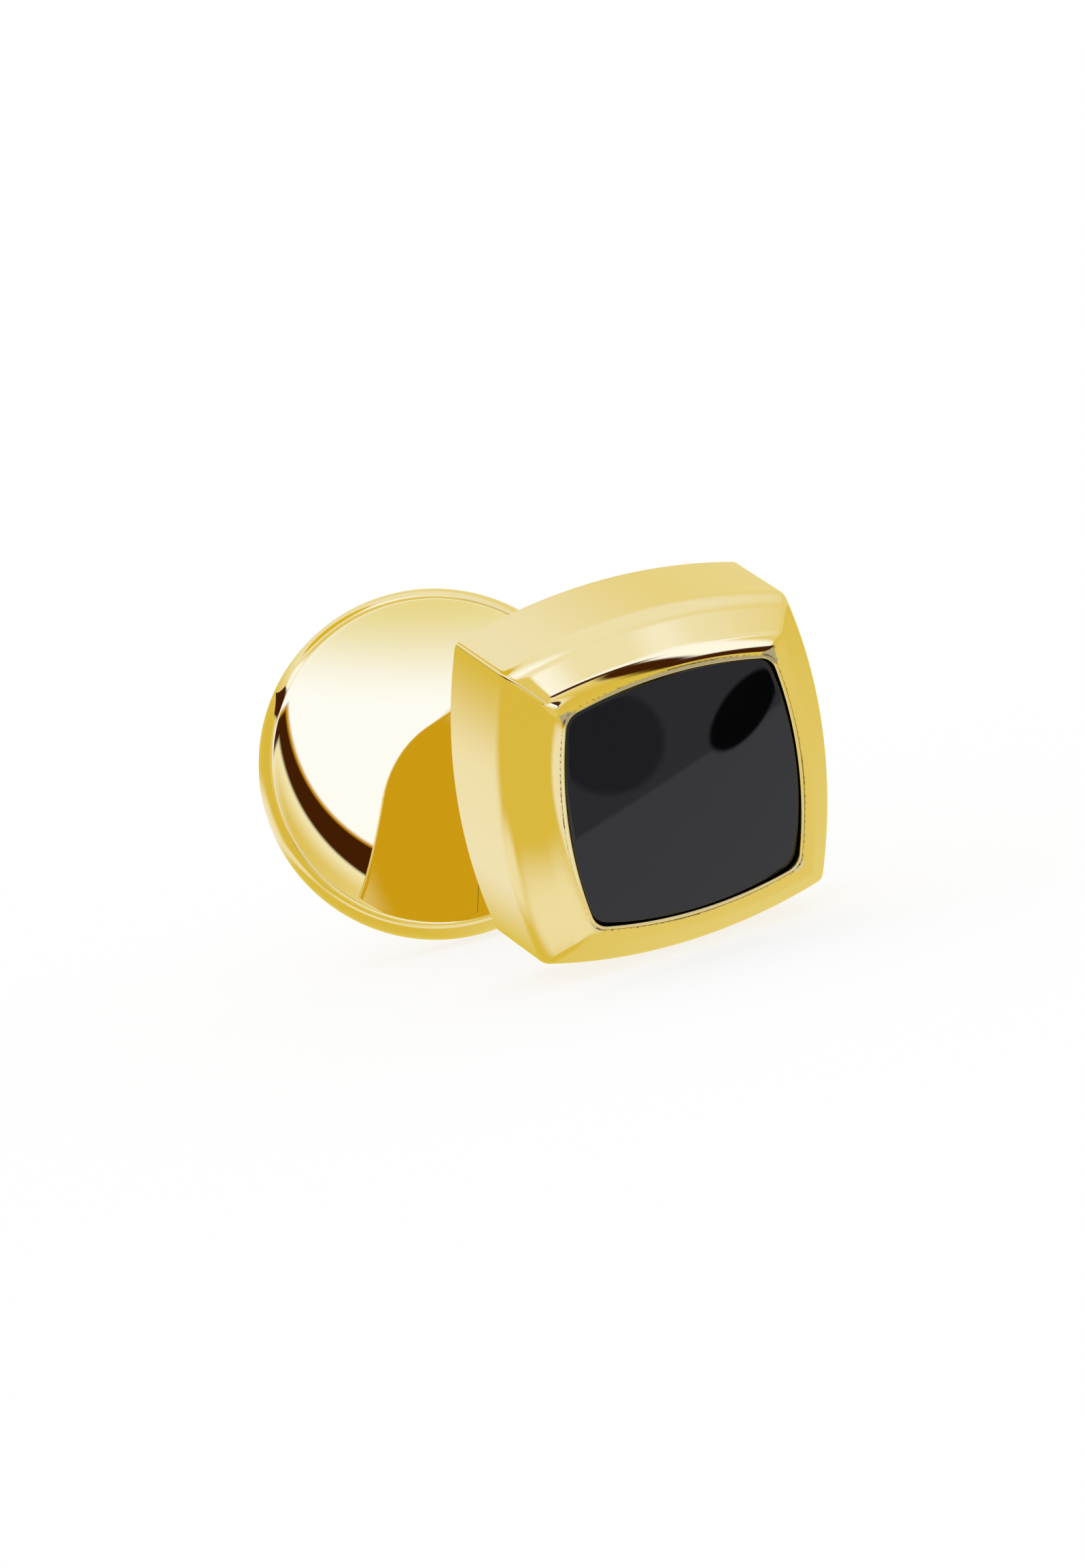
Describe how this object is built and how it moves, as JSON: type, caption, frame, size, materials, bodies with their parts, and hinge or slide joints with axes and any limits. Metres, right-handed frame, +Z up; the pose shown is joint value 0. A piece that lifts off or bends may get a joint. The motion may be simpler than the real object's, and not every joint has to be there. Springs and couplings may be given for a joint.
{
  "type": "cufflink",
  "caption": "Cushion-shaped cufflink head with a black inlay, a curved post and a hinged round back that swings in line with the post.",
  "frame": {"origin": "centre of the head's flat back face, where the post leaves it", "axes": "+Y runs back from the head to the round back, +X is the head's right, +Z is up"},
  "size_m": [0.0166, 0.0248, 0.0146],
  "materials": {
    "polished_gold": "polished",
    "black_stone": "polished",
    "cement": "matte"
  },
  "bodies": {
    "head": {"cushion_case": "polished_gold", "stone_collet": "polished_gold", "onyx_inlay": "black_stone", "stone_cement": "cement", "back_plate": "polished_gold", "post_collar": "polished_gold", "curved_post": "polished_gold", "friction_leaf": "polished_gold", "leaf_rivet": "polished_gold", "hinge_pin": "polished_gold"},
    "disc": {"knuckle": "polished_gold", "knuckle_rivet": "polished_gold", "dished_disc": "polished_gold", "disc_cap": "polished_gold"}
  },
  "joints": [
    {"name": "disc_swing", "type": "hinge", "parent": "head", "child": "disc", "pos_m": [0, 0.01058, 0.00027], "axis": [0, 0.2723, 0.9622], "range_deg": [-74.9, 15.1]}
  ]
}
